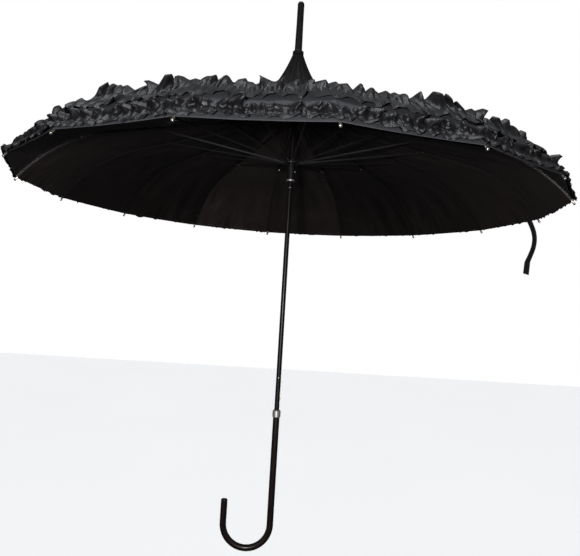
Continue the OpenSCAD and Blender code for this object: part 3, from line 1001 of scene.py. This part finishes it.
def build_strap():
    """The tie strap turns a little on its way down and ends in a slanted cut."""
    down = np.linspace(0, 1, 57)
    turn = math.radians(9) * np.sin(1.6 * math.pi * down) - math.radians(20)
    radial = np.array([math.cos(STRAP_BEARING), math.sin(STRAP_BEARING), 0.0])
    tangent = np.array([-math.sin(STRAP_BEARING), math.cos(STRAP_BEARING), 0.0])
    middle = strap_middle(down, radial, tangent)
    wide = np.cos(turn)[:, None] * tangent + np.sin(turn)[:, None] * radial
    thin = np.cos(turn)[:, None] * radial - np.sin(turn)[:, None] * tangent
    loop_u = np.concatenate([SECTION_ACROSS, SECTION_ACROSS[-2:0:-1]]) * STRAP_W
    loop_t = np.concatenate([SECTION_THICK, -SECTION_THICK[-2:0:-1]]) * STRAP_T
    points = middle[:, None] + wide[:, None] * loop_u[None, :, None] + thin[:, None] * loop_t[None, :, None]
    points[-1, :, 2] += STRAP_CUT * (loop_u / STRAP_W)
    points = np.concatenate([drawn_in(points[:1]), points, drawn_in(points[-1:])])
    run = np.concatenate([[0], down, [1]]) * STRAP_L
    cloth = np.stack(np.broadcast_arrays(loop_u, run[:, None]), -1)[:, ::-1]
    obj = grid_object("tie_strap_cloth", points[:, ::-1], cloth, cloth, [STRAP], closed=True)
    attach(obj, "tie_strap")
    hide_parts("tie_strap")


# ------------------------------------------------------------ stage and light

FLOOR_HALF = 14.0
FLOOR_Z = -0.9
FLOOR_GLOW = 0.28
# Strength of the light that comes from all round, under and over the object
ROOM_BELOW = 0.03
ROOM_ABOVE = 0.22


def build_stage():
    """A pale paper floor well under the object, which throws no light back at it."""
    low, high = -FLOOR_HALF, FLOOR_HALF
    corners = [(low, low, FLOOR_Z), (high, low, FLOOR_Z), (high, high, FLOOR_Z), (low, high, FLOOR_Z)]
    mesh = bpy.data.meshes.new("floor")
    mesh.from_pydata(corners, [], [(0, 1, 2, 3)])
    floor = bpy.data.objects.new("floor", mesh)
    bpy.context.scene.collection.objects.link(floor)
    s = Shader(
        "floor_paper",
        Roughness=0.9,
        Specular_IOR_Level=0.1,
        Emission_Color=colour(1, 1, 1),
        Emission_Strength=FLOOR_GLOW,
    )
    shade = s.noise(s.rest(), 0.8, 2.0)
    s.feed("Base Color", s.mix(shade, colour(0.90, 0.90, 0.90), colour(0.94, 0.94, 0.94)))
    mesh.materials.append(s.material)
    floor.visible_diffuse = False
    floor.visible_glossy = False


def front_light():
    """A small soft light beside the camera."""
    data = bpy.data.lights.new("front", "AREA")
    data.size = 0.06
    data.energy = 7.5
    data.color = (1.0, 0.965, 0.94)
    lamp = bpy.data.objects.new("front", data)
    place, target = Vector((-0.085, -1.1, 0.27)), Vector((0, 0, 0.45))
    lamp.location = place
    lamp.rotation_euler = (target - place).to_track_quat("-Z", "Y").to_euler()
    bpy.context.scene.collection.objects.link(lamp)


def overhead_light():
    """A broad soft light from above."""
    data = bpy.data.lights.new("overhead", "SUN")
    data.energy = 1.6
    data.angle = math.radians(28)
    data.color = (0.93, 0.96, 1.0)
    lamp = bpy.data.objects.new("overhead", data)
    lamp.rotation_euler = (math.radians(8), math.radians(-6), 0)
    bpy.context.scene.collection.objects.link(lamp)


def build_world():
    """White behind the object. As a light it is brighter overhead than below, like a lit ceiling."""
    world = bpy.data.worlds.new("studio")
    bpy.context.scene.world = world
    world.use_nodes = True
    nodes, links = world.node_tree.nodes, world.node_tree.links
    where = nodes.new("ShaderNodeTexCoord")
    split = nodes.new("ShaderNodeSeparateXYZ")
    links.new(where.outputs["Generated"], split.inputs[0])
    room = nodes.new("ShaderNodeMapRange")
    room.interpolation_type = "SMOOTHSTEP"
    links.new(split.outputs["Z"], room.inputs["Value"])
    ends = {"From Min": -0.3, "From Max": 0.9, "To Min": ROOM_BELOW, "To Max": ROOM_ABOVE}
    for socket, value in ends.items():
        room.inputs[socket].default_value = value
    path = nodes.new("ShaderNodeLightPath")
    pick = nodes.new("ShaderNodeMix")
    links.new(path.outputs["Is Camera Ray"], pick.inputs[0])
    links.new(room.outputs["Result"], pick.inputs[2])
    pick.inputs[3].default_value = 1.0
    links.new(pick.outputs[0], nodes["Background"].inputs["Strength"])
    nodes["Background"].inputs["Color"].default_value = colour(1, 1, 1)


# The camera stands lower than the rim. It is turned to the right, raised, and tilted about its own axis.
CAMERA_PLACE = (0.0, -1.0814, 0.2336)
CAMERA_TURN = math.radians(-0.469)
CAMERA_RAISE = math.radians(3.672)
CAMERA_TILT = math.radians(3.416)
CAMERA_LENS = 40.594


def build_camera():
    data = bpy.data.cameras.new("camera")
    data.sensor_width = 36
    data.lens = CAMERA_LENS
    camera = bpy.data.objects.new("camera", data)
    turn = Matrix.Rotation(CAMERA_TURN, 4, "Z")
    lift = Matrix.Rotation(math.pi / 2 + CAMERA_RAISE, 4, "X")
    tilt = Matrix.Rotation(CAMERA_TILT, 4, "Z")
    camera.matrix_world = Matrix.Translation(CAMERA_PLACE) @ turn @ lift @ tilt
    bpy.context.scene.collection.objects.link(camera)
    bpy.context.scene.camera = camera


build_camera()
front_light()
overhead_light()
build_world()
bpy.context.scene.view_settings.view_transform = "Standard"
build_stage()
finish_cad_parts()
build_canopy()
for tier in TIERS:
    build_ruffle(tier)
build_strap()
